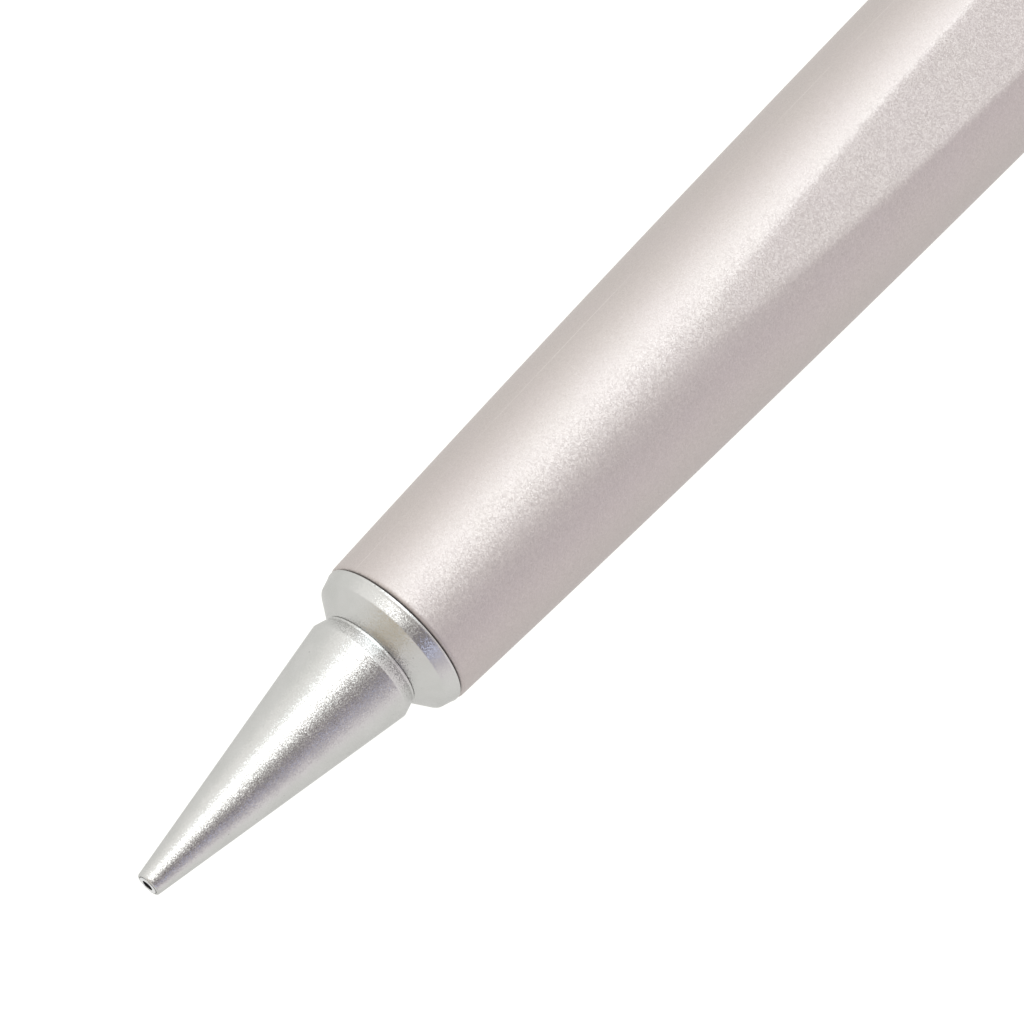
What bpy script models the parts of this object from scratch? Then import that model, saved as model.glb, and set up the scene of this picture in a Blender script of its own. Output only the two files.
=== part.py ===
"""Fine-lead push-button lead holder, lying on the lower of its two flats.

The holder lies along X with its tip at -X. Stations along it are in millimetres from the tip, and radii are
in millimetres from its axis, which runs FLAT_HEIGHT above the surface it lies on.
"""

import math

import bmesh
import bpy
from mathutils import Matrix, Vector

MM = 0.001

# Driving dimensions, in millimetres.
LENGTH = 140.0
FLAT_HEIGHT = 4.74          # from the axis to each flat
FIT = 0.05                  # radial clearance between fitted pieces
SEAT = 0.05                 # gap between faces that rest on each other
JOINT_GAP = 0.06            # the fine gap between the nose's collar and the barrel

LEAD_RADIUS = 0.25
GUIDE_BORE = 0.30
GUIDE_RADIUS = 0.48
GUIDE_END = 6.0

NOSE_FRONT = 0.03           # the guide pipe stands proud of the cone by this much
TIP_RADIUS = 0.619
CONE_SLOPE = 0.1612         # radius gained per millimetre
CONE_LIP = 13.95            # station of the cone's widest point
GROOVE = 14.73
GROOVE_RADIUS = 2.63
COLLAR_FRONT = 15.59
COLLAR_FRONT_RADIUS = 3.79
COLLAR_LAND = 16.12
COLLAR_RADIUS = 4.00
COLLAR_REAR = 16.34
BOSS_RADIUS = 2.97
BOSS_END = 24.0

BARREL_FRONT = COLLAR_REAR + JOINT_GAP
BARREL_FRONT_RADIUS = 4.05
BARREL_FULL = 104.5         # station where the barrel reaches its full radius
BARREL_RADIUS = 5.40
BARREL_SWELL = 2.775        # exponent of the swelling curve
BARREL_END = 127.5
FLAT_START = 30.0           # ahead of where the flats begin to cut the barrel
BARREL_BORE = 3.1

STROKE = 3.5                # travel of the button and the clutch
JAW_FRONT = 12.20
JAW_ROOT = 21.0
JAW_SLOT = 0.20             # gap between neighbouring jaws
JAW_RADIUS = 0.85
RING_FRONT = 12.5
RING_REAR = 14.3
SLEEVE_FRONT = 14.35
SLEEVE_END = 30.0

SPRING_FRONT = 18.35
SPRING_REAR = 30.95
SPRING_RADIUS = 1.22
SPRING_WIRE = 0.15
SPRING_TURNS = 9
SPRING_STEPS = 12           # points for each turn of the spring

TUBE_RADIUS = 1.95
TUBE_BORE = 1.60
TUBE_END = 126.0
BUTTON_RADIUS = 3.35
BUTTON_FRONT = 125.5

CLIP_WIDTH = 3.2
CLIP_THICKNESS = 0.6
CLIP_RING_END = 129.0
CLIP_ROOT_HEIGHT = 6.7      # underside of the clip at its root, from the axis
CLIP_TOUCH = 93.5           # station where the clip's end touches the flat
CLIP_BOW = 3.0              # radius of the bow at that end

FINE = 48                   # sides of the outer turned pieces
MEDIUM = 32
COARSE = 20


# Helpers ---------------------------------------------------------------------------------------------------


def clear_scene():
    for obj in list(bpy.data.objects):
        bpy.data.objects.remove(obj, do_unlink=True)


def new_collection(name):
    collection = bpy.data.collections.new(name)
    bpy.context.scene.collection.children.link(collection)
    return collection


def material(name, colour, metallic, roughness):
    mat = bpy.data.materials.new(name)
    mat.use_nodes = True
    shader = mat.node_tree.nodes["Principled BSDF"]
    shader.inputs["Base Color"].default_value = (*colour, 1.0)
    shader.inputs["Metallic"].default_value = metallic
    shader.inputs["Roughness"].default_value = roughness
    return mat


def place(obj, name, mat, collection):
    """Names an object, gives it its material and puts it in the collection."""
    obj.name = name
    obj.data.name = name
    obj.data.materials.clear()
    obj.data.materials.append(mat)
    for owner in list(obj.users_collection):
        owner.objects.unlink(obj)
    collection.objects.link(obj)
    return obj


def station(s, radius=0.0, angle=0.0):
    """World point at a station, a radius and an angle about the axis, from +Y towards +Z."""
    x = (s - LENGTH / 2) * MM
    y = radius * math.cos(angle) * MM
    z = (FLAT_HEIGHT + radius * math.sin(angle)) * MM
    return Vector((x, y, z))


def lay_along_axis(obj):
    """Turns an object made about local Z, with Z the station, so that it lies on the holder's axis."""
    obj.rotation_euler = (0.0, math.pi / 2, 0.0)
    obj.location = station(0.0)


def turned(name, outer, inner, sides, mat, collection):
    """A turned piece. outer and inner run from the front to the rear as (station, radius) pairs, and a solid
    piece has an empty inner profile and an outer one that starts and ends on the axis."""
    loop = list(reversed(outer)) + list(inner)
    mesh = bpy.data.meshes.new(name)
    points = [(r * MM, 0.0, s * MM) for s, r in loop]
    count = len(points)
    edges = [(i, i + 1) for i in range(count - 1)]
    if inner:
        edges.append((count - 1, 0))
    mesh.from_pydata(points, edges, [])
    obj = bpy.data.objects.new(name, mesh)
    place(obj, name, mat, collection)
    lay_along_axis(obj)
    screw = obj.modifiers.new("Turn", "SCREW")
    screw.axis = "Z"
    screw.angle = 2 * math.pi
    screw.steps = sides
    screw.render_steps = sides
    screw.use_merge_vertices = True
    screw.merge_threshold = 1e-6
    screw.use_smooth_shade = True
    return obj


def box_cutter(name, low, high, collection):
    """A box between two world corners, given in millimetres, which is only used to cut."""
    low = Vector(low) * MM
    high = Vector(high) * MM
    size = high - low
    bpy.ops.mesh.primitive_cube_add(size=1.0, location=(low + high) / 2)
    obj = bpy.context.object
    obj.scale = size
    bpy.ops.object.transform_apply(location=False, rotation=False, scale=True)
    return as_cutter(obj, name, collection)


def as_cutter(obj, name, collection):
    obj.name = name
    obj.hide_render = True
    obj.display_type = "WIRE"
    for owner in list(obj.users_collection):
        owner.objects.unlink(obj)
    collection.objects.link(obj)
    return obj


def boolean(obj, cutter, operation):
    modifier = obj.modifiers.new(cutter.name, "BOOLEAN")
    modifier.operation = operation
    modifier.object = cutter
    modifier.solver = "EXACT"
    return modifier


def smooth(obj, degrees=30.0):
    obj.data.shade_smooth()
    obj.data.set_sharp_from_angle(angle=math.radians(degrees))


def arc(centre, radius, start, end, steps):
    """Points on an arc in the (station, radius) plane, angles in degrees from the station axis."""
    points = []
    for i in range(steps + 1):
        angle = math.radians(start + (end - start) * i / steps)
        points.append((centre[0] + radius * math.cos(angle), centre[1] + radius * math.sin(angle)))
    return points


# Nose ------------------------------------------------------------------------------------------------------


def cone_radius(s):
    return TIP_RADIUS + CONE_SLOPE * s


def make_nose_cone(mat, parts):
    """Cone, rounded lip, V-groove, bevelled collar and the boss that screws into the front bush."""
    outer = [
        (NOSE_FRONT, GUIDE_RADIUS + FIT),
        (NOSE_FRONT, TIP_RADIUS - 0.04),
        (NOSE_FRONT + 0.06, cone_radius(NOSE_FRONT + 0.06)),
        (CONE_LIP, cone_radius(CONE_LIP)),
        (CONE_LIP + 0.18, cone_radius(CONE_LIP) - 0.02),
        (GROOVE, GROOVE_RADIUS),
        (COLLAR_FRONT, COLLAR_FRONT_RADIUS),
        (COLLAR_LAND, COLLAR_RADIUS - 0.05),
        (COLLAR_LAND + 0.10, COLLAR_RADIUS),
        (COLLAR_REAR, COLLAR_RADIUS),
        (COLLAR_REAR, BOSS_RADIUS - 0.30),
        (COLLAR_REAR + 0.70, BOSS_RADIUS - 0.30),
        (COLLAR_REAR + 0.95, BOSS_RADIUS),
        (BOSS_END - 0.30, BOSS_RADIUS),
        (BOSS_END, BOSS_RADIUS - 0.30),
    ]
    inner = [
        (GUIDE_END + SEAT, GUIDE_RADIUS + FIT),
        (GUIDE_END + SEAT, 1.20),
        (JAW_FRONT - STROKE - 0.40, 1.20),
        (JAW_FRONT - STROKE - 0.40, 1.66),
        (11.90, 1.66),
        (11.90, 2.10),
        (BOSS_END, 2.10),
    ]
    return turned("nose_cone", outer, inner, FINE, mat, parts)


def make_guide_pipe(mat, parts):
    outer = [(0.0, GUIDE_RADIUS - 0.03), (0.03, GUIDE_RADIUS), (GUIDE_END, GUIDE_RADIUS)]
    inner = [(0.0, GUIDE_BORE), (GUIDE_END, GUIDE_BORE)]
    return turned("lead_guide_pipe", outer, inner, COARSE, mat, parts)


def make_lead_retainer(mat, parts):
    """Rubber ring behind the guide pipe, dished towards the lead."""
    outer = [(6.10, 1.15), (8.25, 1.15)]
    inner = [(6.10, 0.45), (6.90, 0.30), (7.60, 0.30), (8.25, 0.60)]
    return turned("lead_retainer", outer, inner, COARSE, mat, parts)


# Barrel ----------------------------------------------------------------------------------------------------


def barrel_radius(s):
    """The barrel swells from its mouth and reaches its full radius at BARREL_FULL."""
    left = max(0.0, (BARREL_FULL - s) / (BARREL_FULL - BARREL_FRONT))
    return BARREL_RADIUS - (BARREL_RADIUS - BARREL_FRONT_RADIUS) * left**BARREL_SWELL


def flat_cutters(name, start, end, cutters):
    """The two boxes that leave a flat above and one below."""
    reach = BARREL_RADIUS + 1.0
    top = 2 * FLAT_HEIGHT
    low_x = start - LENGTH / 2
    high_x = end - LENGTH / 2
    above = box_cutter(name + "_above", (low_x, -reach, top), (high_x, reach, top + 4.0), cutters)
    below = box_cutter(name + "_below", (low_x, -reach, -4.0), (high_x, reach, 0.0), cutters)
    return above, below


def make_barrel(mat, parts, cutters):
    mouth = arc((BARREL_FRONT + 0.2, BARREL_FRONT_RADIUS - 0.19), 0.2, 180, 95, 3)
    stations = (19.0, 22.0, 26.0, 31.0, 37.0, 44.0, 52.0, 62.0, 74.0, 90.0, BARREL_FULL)
    swell = [(s, barrel_radius(s)) for s in stations]
    outer = mouth + swell + [(BARREL_END, BARREL_RADIUS)]
    inner = [
        (BARREL_FRONT, 3.50),
        (27.30, 3.50),
        (27.30, BARREL_BORE),
        (115.80, BARREL_BORE),
        (115.80, 4.25),
        (BARREL_END, 4.25),
    ]
    barrel = turned("barrel", outer, inner, FINE, mat, parts)
    for cutter in flat_cutters("barrel_flat", FLAT_START, BARREL_END + 1.0, cutters):
        boolean(barrel, cutter, "DIFFERENCE")
    return barrel


def make_front_bush(mat, parts):
    """Sleeve in the barrel's mouth: its thread takes the nose, and its shoulder the mechanism sleeve."""
    outer = [(17.10, 3.30), (17.25, 3.45), (27.0, 3.45)]
    inner = [(17.10, BOSS_RADIUS + FIT), (25.60, BOSS_RADIUS + FIT), (25.60, 2.60), (27.0, 2.60)]
    return turned("front_bush", outer, inner, FINE, mat, parts)


# Clutch ----------------------------------------------------------------------------------------------------


def make_mechanism_sleeve(mat, parts):
    """Sleeve with the clutch ring's seat in front, the spring's shoulder inside and a clamped flange."""
    outer = [
        (SLEEVE_FRONT, 1.95),
        (BOSS_END + SEAT, 1.95),
        (BOSS_END + SEAT, 2.90),
        (25.50, 2.90),
        (25.50, 2.40),
        (SLEEVE_END, 2.40),
    ]
    inner = [(SLEEVE_FRONT, 1.20), (18.10, 1.20), (18.10, 1.60), (SLEEVE_END, 1.60)]
    return turned("mechanism_sleeve", outer, inner, MEDIUM, mat, parts)


def make_clutch_ring(mat, parts):
    outer = [(RING_FRONT, 1.80), (RING_FRONT + 0.10, 1.90), (RING_REAR, 1.90)]
    inner = [(RING_FRONT, 1.28), (RING_REAR, 1.06)]
    return turned("clutch_ring", outer, inner, MEDIUM, mat, parts)


def make_jaw_wedge(name, angle, cutters):
    """A three-cornered prism with a 120 degree corner near the axis, which cuts one jaw of three."""
    reach = 4.0
    bpy.ops.mesh.primitive_cylinder_add(vertices=3, radius=reach * MM, depth=20.0 * MM)
    obj = bpy.context.object
    # Corner of the triangle to the origin, pointing along local X, and widened to 120 degrees.
    turn = Matrix.Rotation(math.pi / 2, 4, "Z")
    widen = Matrix.Diagonal((1.0, math.tan(math.radians(60)) / math.tan(math.radians(30)), 1.0, 1.0))
    offset = reach + JAW_SLOT / 2 / math.sin(math.radians(60))
    shift = Matrix.Translation((offset * MM, 0.0, 0.0))
    obj.data.transform(shift @ widen @ turn)
    # Local Z goes along the holder, and local X out along the jaw's radius.
    along = Matrix.Rotation(math.pi / 2, 4, "Y")
    about = Matrix.Rotation(angle, 4, "X")
    obj.data.transform(about @ Matrix.Rotation(math.pi / 2, 4, "X") @ along)
    obj.location = station(JAW_ROOT - 9.0)
    return as_cutter(obj, name, cutters)


def make_jaws(mat, parts, cutters):
    """Three jaws of one turned shape: a tapered head, a slim arm and the root that flexes."""
    outer = [
        (JAW_FRONT, 0.55),
        (JAW_FRONT + 0.15, 1.25),
        (14.20, 1.02),
        (14.60, JAW_RADIUS),
        (JAW_ROOT, JAW_RADIUS),
    ]
    inner = [(JAW_FRONT, 0.27), (15.0, 0.27), (15.2, 0.45), (JAW_ROOT, 0.45)]
    jaws = []
    for index in range(3):
        angle = math.pi / 2 + index * 2 * math.pi / 3
        name = f"clutch_jaw_{index + 1}"
        jaw = turned(name, outer, inner, COARSE + 4, mat, parts)
        wedge = make_jaw_wedge(name + "_wedge", angle, cutters)
        boolean(jaw, wedge, "INTERSECT")
        jaws.append((jaw, station(JAW_ROOT, 0.65, angle)))
    return jaws


def make_clutch_stem(mat, parts):
    outer = [(JAW_ROOT + 0.10, JAW_RADIUS), (36.2, JAW_RADIUS)]
    inner = [(JAW_ROOT + 0.10, 0.45), (36.2, 0.45)]
    return turned("clutch_stem", outer, inner, COARSE + 4, mat, parts)


def make_clutch_spring(mat, parts):
    """Coil spring with one closed turn at each end."""
    closed = SPRING_WIRE * 2.2
    free = SPRING_REAR - SPRING_FRONT - 2 * SPRING_WIRE - 2 * closed
    count = SPRING_TURNS * SPRING_STEPS
    curve = bpy.data.curves.new("clutch_spring", "CURVE")
    curve.dimensions = "3D"
    curve.bevel_depth = SPRING_WIRE * MM
    curve.bevel_resolution = 2
    curve.use_fill_caps = True
    spline = curve.splines.new("POLY")
    spline.points.add(count)
    for i in range(count + 1):
        turn = i / SPRING_STEPS
        rise = closed * min(turn, 1.0) + closed * max(0.0, turn - (SPRING_TURNS - 1))
        rise += free * min(max((turn - 1.0) / (SPRING_TURNS - 2), 0.0), 1.0)
        point = station(SPRING_FRONT + SPRING_WIRE + rise, SPRING_RADIUS, 2 * math.pi * turn)
        spline.points[i].co = (*point, 1.0)
    obj = bpy.data.objects.new("clutch_spring", curve)
    return place(obj, "clutch_spring", mat, parts)


def make_tube_connector(mat, parts):
    """Joins the stem to the lead tube, with a funnel between that leads one lead into the stem."""
    outer = [(31.20, 1.40), (34.20, 1.40), (34.20, 2.20), (34.40, 2.40), (44.0, 2.40)]
    inner = [
        (31.20, JAW_RADIUS + FIT),
        (36.40, JAW_RADIUS + FIT),
        (38.0, TUBE_BORE),
        (38.0, TUBE_RADIUS + FIT),
        (44.0, TUBE_RADIUS + FIT),
    ]
    return turned("tube_connector", outer, inner, MEDIUM, mat, parts)


# Magazine, eraser and button -------------------------------------------------------------------------------


def make_lead_tube(mat, parts):
    outer = [(38.10, TUBE_RADIUS), (TUBE_END, TUBE_RADIUS)]
    inner = [(38.10, TUBE_BORE), (TUBE_END, TUBE_BORE)]
    return turned("lead_tube", outer, inner, MEDIUM, mat, parts)


def make_rod(name, start, end, radius, offset, angle, mat, parts):
    """A thin round rod along the holder, such as a lead or the pin."""
    bpy.ops.mesh.primitive_cylinder_add(vertices=16, radius=radius * MM, depth=(end - start) * MM)
    obj = bpy.context.object
    obj.data.transform(Matrix.Rotation(math.pi / 2, 4, "Y"))
    obj.location = station((start + end) / 2, offset, angle)
    smooth(obj)
    return place(obj, name, mat, parts)


def make_eraser_ferrule(mat, parts):
    outer = [(122.0, 2.45), (122.15, 2.55), (131.30, 2.55), (131.50, 2.40)]
    inner = [
        (122.0, TUBE_RADIUS + FIT),
        (TUBE_END + 0.2, TUBE_RADIUS + FIT),
        (TUBE_END + 0.2, 2.10),
        (131.50, 2.10),
    ]
    return turned("eraser_ferrule", outer, inner, MEDIUM, mat, parts)


def make_eraser(mat, parts):
    """Eraser with a rounded end, and a narrow hole in its front for the cleaning pin."""
    hole = [(129.70, 0.0), (129.70, 0.25), (126.35, 0.25)]
    side = [(126.35, 2.05)] + arc((136.5, 1.55), 0.5, 90, 0, 4)
    return turned("eraser", hole + side + [(137.0, 0.0)], [], MEDIUM, mat, parts)


def make_push_button(mat, parts):
    """Cap that covers the eraser and grips the ferrule."""
    cavity = [(138.7, 0.0), (138.7, 2.62), (BUTTON_FRONT, 2.62)]
    mouth = [(BUTTON_FRONT, BUTTON_RADIUS - 0.15), (BUTTON_FRONT + 0.15, BUTTON_RADIUS)]
    crown = arc((138.9, BUTTON_RADIUS - 0.9), 0.9, 90, 20, 4)
    end = [(LENGTH, 1.6), (LENGTH, 0.0)]
    return turned("push_button", cavity + mouth + crown + end, [], FINE, mat, parts)


def make_rear_bush(mat, parts, cutters):
    """Guides the button, and clamps the clip's ring with its flange, which carries the flats on."""
    neck = 4.20
    rounded = arc((130.4, BARREL_RADIUS - 0.6), 0.6, 90, 15, 4)
    outer = [(116.0, neck - 0.2), (116.2, neck), (129.05, neck), (129.05, BARREL_RADIUS)]
    outer += rounded + [(131.0, 4.2)]
    inner = [(116.0, BUTTON_RADIUS + 0.06), (130.8, BUTTON_RADIUS + 0.06), (131.0, BUTTON_RADIUS + 0.26)]
    bush = turned("rear_bush", outer, inner, FINE, mat, parts)
    for cutter in flat_cutters("rear_bush_flat", 128.5, 132.0, cutters):
        boolean(bush, cutter, "DIFFERENCE")
    return bush


# Clip ------------------------------------------------------------------------------------------------------


def make_clip_ring(mat, parts, cutters):
    """Band with flats like the barrel's, and a lug above that the clip springs from."""
    start = BARREL_END + SEAT
    outer = [(start, BARREL_RADIUS), (CLIP_RING_END, BARREL_RADIUS)]
    inner = [(start, 4.25), (CLIP_RING_END, 4.25)]
    ring = turned("clip_ring", outer, inner, FINE, mat, parts)
    for cutter in flat_cutters("clip_ring_flat", start - 1.0, CLIP_RING_END + 1.0, cutters):
        boolean(ring, cutter, "DIFFERENCE")
    lug_low = (start - LENGTH / 2, -CLIP_WIDTH / 2, 2 * FLAT_HEIGHT - 0.3)
    lug_high = (CLIP_RING_END - LENGTH / 2, CLIP_WIDTH / 2, FLAT_HEIGHT + CLIP_ROOT_HEIGHT - SEAT)
    lug = box_cutter("clip_lug", lug_low, lug_high, cutters)
    boolean(ring, lug, "UNION")
    return ring


def clip_line():
    """Underside of the clip as (station, height above the axis), from the root to the turned-up end."""
    line = [
        (CLIP_RING_END, CLIP_ROOT_HEIGHT),
        (BARREL_END - 1.0, CLIP_ROOT_HEIGHT),
        (112.0, CLIP_ROOT_HEIGHT),
        (CLIP_TOUCH + 9.0, CLIP_ROOT_HEIGHT - 0.15),
        (CLIP_TOUCH + 5.0, CLIP_ROOT_HEIGHT - 0.65),
    ]
    centre = (CLIP_TOUCH, FLAT_HEIGHT + SEAT + CLIP_BOW)
    return line + arc(centre, CLIP_BOW, -75, -130, 6)


def make_clip_arm(mat, parts):
    """Sprung strip, narrower towards its end, whose bowed end rests on the flat."""
    line = clip_line()
    mesh = bpy.data.meshes.new("clip_arm")
    points = []
    for s, height in line:
        share = (CLIP_RING_END - s) / (CLIP_RING_END - CLIP_TOUCH)
        half = CLIP_WIDTH / 2 * (1.0 - 0.25 * share)
        base = station(s)
        points.append((base.x, -half * MM, base.z + height * MM))
        points.append((base.x, half * MM, base.z + height * MM))
    faces = [(2 * i, 2 * i + 2, 2 * i + 3, 2 * i + 1) for i in range(len(line) - 1)]
    mesh.from_pydata(points, [], faces)
    obj = bpy.data.objects.new("clip_arm", mesh)
    place(obj, "clip_arm", mat, parts)
    shell = obj.modifiers.new("Sheet", "SOLIDIFY")
    shell.thickness = CLIP_THICKNESS * MM
    shell.offset = -1.0
    edge = obj.modifiers.new("Edges", "BEVEL")
    edge.width = 0.12 * MM
    edge.segments = 1
    edge.limit_method = "ANGLE"
    edge.angle_limit = math.radians(60)
    return obj


# Build -----------------------------------------------------------------------------------------------------


def pivot(name, point, children, parts):
    """An empty on a joint's axis, with the pieces that move about it."""
    empty = bpy.data.objects.new(name, None)
    parts.objects.link(empty)
    empty.location = point
    bpy.context.view_layer.update()
    for child in children:
        child.parent = empty
        child.matrix_parent_inverse = empty.matrix_world.inverted()
    return empty


def build():
    clear_scene()
    parts = new_collection("lead_holder")
    cutters = new_collection("cutters")

    satin = material("satin_metal", (0.62, 0.62, 0.61), 1.0, 0.34)
    pearl = material("pearl_coat", (0.56, 0.50, 0.49), 0.75, 0.36)
    steel = material("steel", (0.58, 0.58, 0.59), 1.0, 0.22)
    spring_steel = material("spring_steel", (0.42, 0.42, 0.43), 1.0, 0.30)
    brass = material("brass", (0.72, 0.52, 0.22), 1.0, 0.28)
    rubber = material("black_rubber", (0.03, 0.03, 0.03), 0.0, 0.7)
    plastic = material("white_plastic", (0.78, 0.78, 0.76), 0.0, 0.4)
    vinyl = material("eraser_vinyl", (0.85, 0.85, 0.83), 0.0, 0.75)
    graphite = material("graphite", (0.06, 0.06, 0.065), 0.3, 0.45)

    cone = make_nose_cone(satin, parts)
    pipe = make_guide_pipe(steel, parts)
    retainer = make_lead_retainer(rubber, parts)
    make_barrel(pearl, parts, cutters)
    make_front_bush(brass, parts)
    make_mechanism_sleeve(brass, parts)
    ring = make_clutch_ring(brass, parts)
    jaws = make_jaws(brass, parts, cutters)
    stem = make_clutch_stem(brass, parts)
    make_clutch_spring(spring_steel, parts)
    connector = make_tube_connector(plastic, parts)
    tube = make_lead_tube(plastic, parts)
    lead = make_rod("writing_lead", 0.5, 60.0, LEAD_RADIUS, 0.0, 0.0, graphite, parts)
    spares = [
        make_rod("spare_lead_1", 50.0, 110.0, LEAD_RADIUS, 1.30, math.radians(-75), graphite, parts),
        make_rod("spare_lead_2", 50.0, 110.0, LEAD_RADIUS, 1.30, math.radians(-105), graphite, parts),
    ]
    ferrule = make_eraser_ferrule(steel, parts)
    eraser = make_eraser(vinyl, parts)
    pin = make_rod("cleaning_pin", 112.0, 129.4, 0.20, 0.0, 0.0, steel, parts)
    button = make_push_button(satin, parts)
    make_rear_bush(satin, parts, cutters)
    make_clip_ring(satin, parts, cutters)
    arm = make_clip_arm(satin, parts)

    pivot("nose_thread", station(BOSS_END), [cone, pipe, retainer], parts)
    pivot("clutch_travel", station(JAW_ROOT), [stem, connector, tube, ferrule] + spares, parts)
    pivot("ring_travel", station(RING_FRONT), [ring], parts)
    pivot("lead_travel", station(0.0), [lead], parts)
    pivot("button_travel", station(BUTTON_FRONT), [button], parts)
    pivot("eraser_travel", station(TUBE_END), [eraser, pin], parts)
    pivot("clip_root", station(CLIP_RING_END - 0.7, CLIP_ROOT_HEIGHT, math.pi / 2), [arm], parts)
    for number, (jaw, root) in enumerate(jaws, 1):
        pivot(f"jaw_root_{number}", root, [jaw], parts)


build()
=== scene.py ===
"""Looks of the lead holder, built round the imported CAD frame.

Stations run along the holder's axis in millimetres from the tip, and radii are in millimetres from it. Angles
about the axis run from +Y towards +Z.
"""

import math

import bmesh
import bpy
from mathutils import Matrix, Vector


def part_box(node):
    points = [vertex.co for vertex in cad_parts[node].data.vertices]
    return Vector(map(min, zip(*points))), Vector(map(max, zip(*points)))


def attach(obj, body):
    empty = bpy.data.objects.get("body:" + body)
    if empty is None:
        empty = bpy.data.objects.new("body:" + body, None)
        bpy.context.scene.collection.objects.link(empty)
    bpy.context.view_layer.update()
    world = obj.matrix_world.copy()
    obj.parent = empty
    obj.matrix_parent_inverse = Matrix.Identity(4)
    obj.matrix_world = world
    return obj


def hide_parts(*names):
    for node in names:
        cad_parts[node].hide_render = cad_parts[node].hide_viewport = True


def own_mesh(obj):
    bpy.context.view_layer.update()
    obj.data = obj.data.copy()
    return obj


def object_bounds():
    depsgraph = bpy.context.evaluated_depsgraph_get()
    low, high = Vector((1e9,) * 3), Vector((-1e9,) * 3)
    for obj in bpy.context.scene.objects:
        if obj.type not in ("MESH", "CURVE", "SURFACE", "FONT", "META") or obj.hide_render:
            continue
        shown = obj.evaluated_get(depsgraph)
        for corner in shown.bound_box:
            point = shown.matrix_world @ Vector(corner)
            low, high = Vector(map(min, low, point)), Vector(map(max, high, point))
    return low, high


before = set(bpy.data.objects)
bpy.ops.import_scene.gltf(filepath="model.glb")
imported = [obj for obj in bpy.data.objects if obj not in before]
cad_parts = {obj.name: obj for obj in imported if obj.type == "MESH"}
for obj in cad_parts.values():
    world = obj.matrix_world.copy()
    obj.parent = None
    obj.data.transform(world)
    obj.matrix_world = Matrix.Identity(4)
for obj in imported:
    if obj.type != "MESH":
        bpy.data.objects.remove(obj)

CAD_LOW, CAD_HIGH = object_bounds()
MM = 0.001

TIP_X = CAD_LOW.x
BUTTON_LOW, BUTTON_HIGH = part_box("push_button")
AXIS_Z = (BUTTON_LOW.z + BUTTON_HIGH.z) / 2
FLAT = (AXIS_Z - CAD_LOW.z) / MM        # from the axis to each flat


# Frame to stations ------------------------------------------------------------------------------------------


def station_of(x):
    return (x - TIP_X) / MM


def reach(node):
    """Front station, rear station and largest radius of a CAD node."""
    low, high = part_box(node)
    return station_of(low.x), station_of(high.x), (high.y - low.y) / 2 / MM


def point(station, radius=0.0, angle=0.0):
    """World point at a station, radius and angle."""
    y = radius * math.cos(angle)
    z = radius * math.sin(angle)
    return Vector((TIP_X + station * MM, y * MM, AXIS_Z + z * MM))


# Mesh helpers -----------------------------------------------------------------------------------------------

EDGE = 0.03                             # usual rounding of an edge
FIT = 0.05                              # clearance between fitted pieces
TINY = 1e-6                             # anything shorter counts as nothing
SMOOTH_TURN = math.cos(math.radians(7))  # corners gentler than this stay as they are
SUPPORT = 1.4                           # where the flat side next to a rounding gets its own ring


def arc(centre, radius, start, end, steps):
    """Points on an arc in the (station, radius) plane, angles in degrees from the station axis."""
    points = []
    for i in range(steps + 1):
        angle = math.radians(start + (end - start) * i / steps)
        points.append((centre[0] + radius * math.cos(angle), centre[1] + radius * math.sin(angle)))
    return points


def soften(profile, size, steps=3, closed=True):
    """Rounds the corners of a profile, so that its edges catch the light."""
    count = len(profile)
    rounded = []
    for i, corner in enumerate(profile):
        here = Vector(corner)
        back = Vector(profile[i - 1]) - here
        ahead = Vector(profile[(i + 1) % count]) - here
        end_point = not closed and i in (0, count - 1)
        straight = -ahead.normalized().dot(back.normalized()) > SMOOTH_TURN
        if end_point or straight or min(ahead.length, back.length) < TINY:
            rounded.append(corner)
            continue
        cut = min(size, back.length * 0.45, ahead.length * 0.45)
        start = here + back.normalized() * cut
        end = here + ahead.normalized() * cut
        if back.length > cut * SUPPORT * 2:
            rounded.append(tuple(here + back.normalized() * cut * SUPPORT))
        for k in range(steps + 1):
            t = k / steps
            p = start * (1 - t) ** 2 + here * 2 * t * (1 - t) + end * t**2
            rounded.append((p.x, p.y))
        if ahead.length > cut * SUPPORT * 2:
            rounded.append(tuple(here + ahead.normalized() * cut * SUPPORT))
    return rounded


def turned(name, outer, inner=(), sides=96, edge=EDGE, ripple=None, spread=None):
    """A closed turned mesh. outer and inner run front to rear; a solid piece has no inner profile, and its
    outer one starts and ends on the axis. ripple(station, radius, angle) may change a radius, and
    spread(station) gives the angles of a ring whose points are not evenly spaced."""
    hollow = len(inner) > 0
    loop = soften(list(outer) + list(reversed(inner)), edge, closed=hollow)
    bm = bmesh.new()
    rings = []
    for station, radius in loop:
        if radius < TINY:
            rings.append([bm.verts.new(point(station))])
            continue
        angles = spread(station) if spread else [2 * math.pi * k / sides for k in range(sides)]
        ring = []
        for angle in angles:
            rippled = ripple(station, radius, angle) if ripple else radius
            ring.append(bm.verts.new(point(station, rippled, angle)))
        rings.append(ring)
    pairs = list(zip(rings, rings[1:]))
    if hollow:
        pairs.append((rings[-1], rings[0]))
    for first, second in pairs:
        join_rings(bm, first, second, max(len(first), len(second)))
    bmesh.ops.recalc_face_normals(bm, faces=bm.faces[:])
    return bm_object(name, bm)


def join_rings(bm, first, second, sides):
    """Faces between two rings, where a ring of one point makes them triangles."""
    for k in range(sides):
        following = (k + 1) % sides
        a, b = first[k % len(first)], first[following % len(first)]
        d, c = second[k % len(second)], second[following % len(second)]
        corners = list(dict.fromkeys((a, b, c, d)))
        if len(corners) > 2:
            bm.faces.new(corners)


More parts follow.
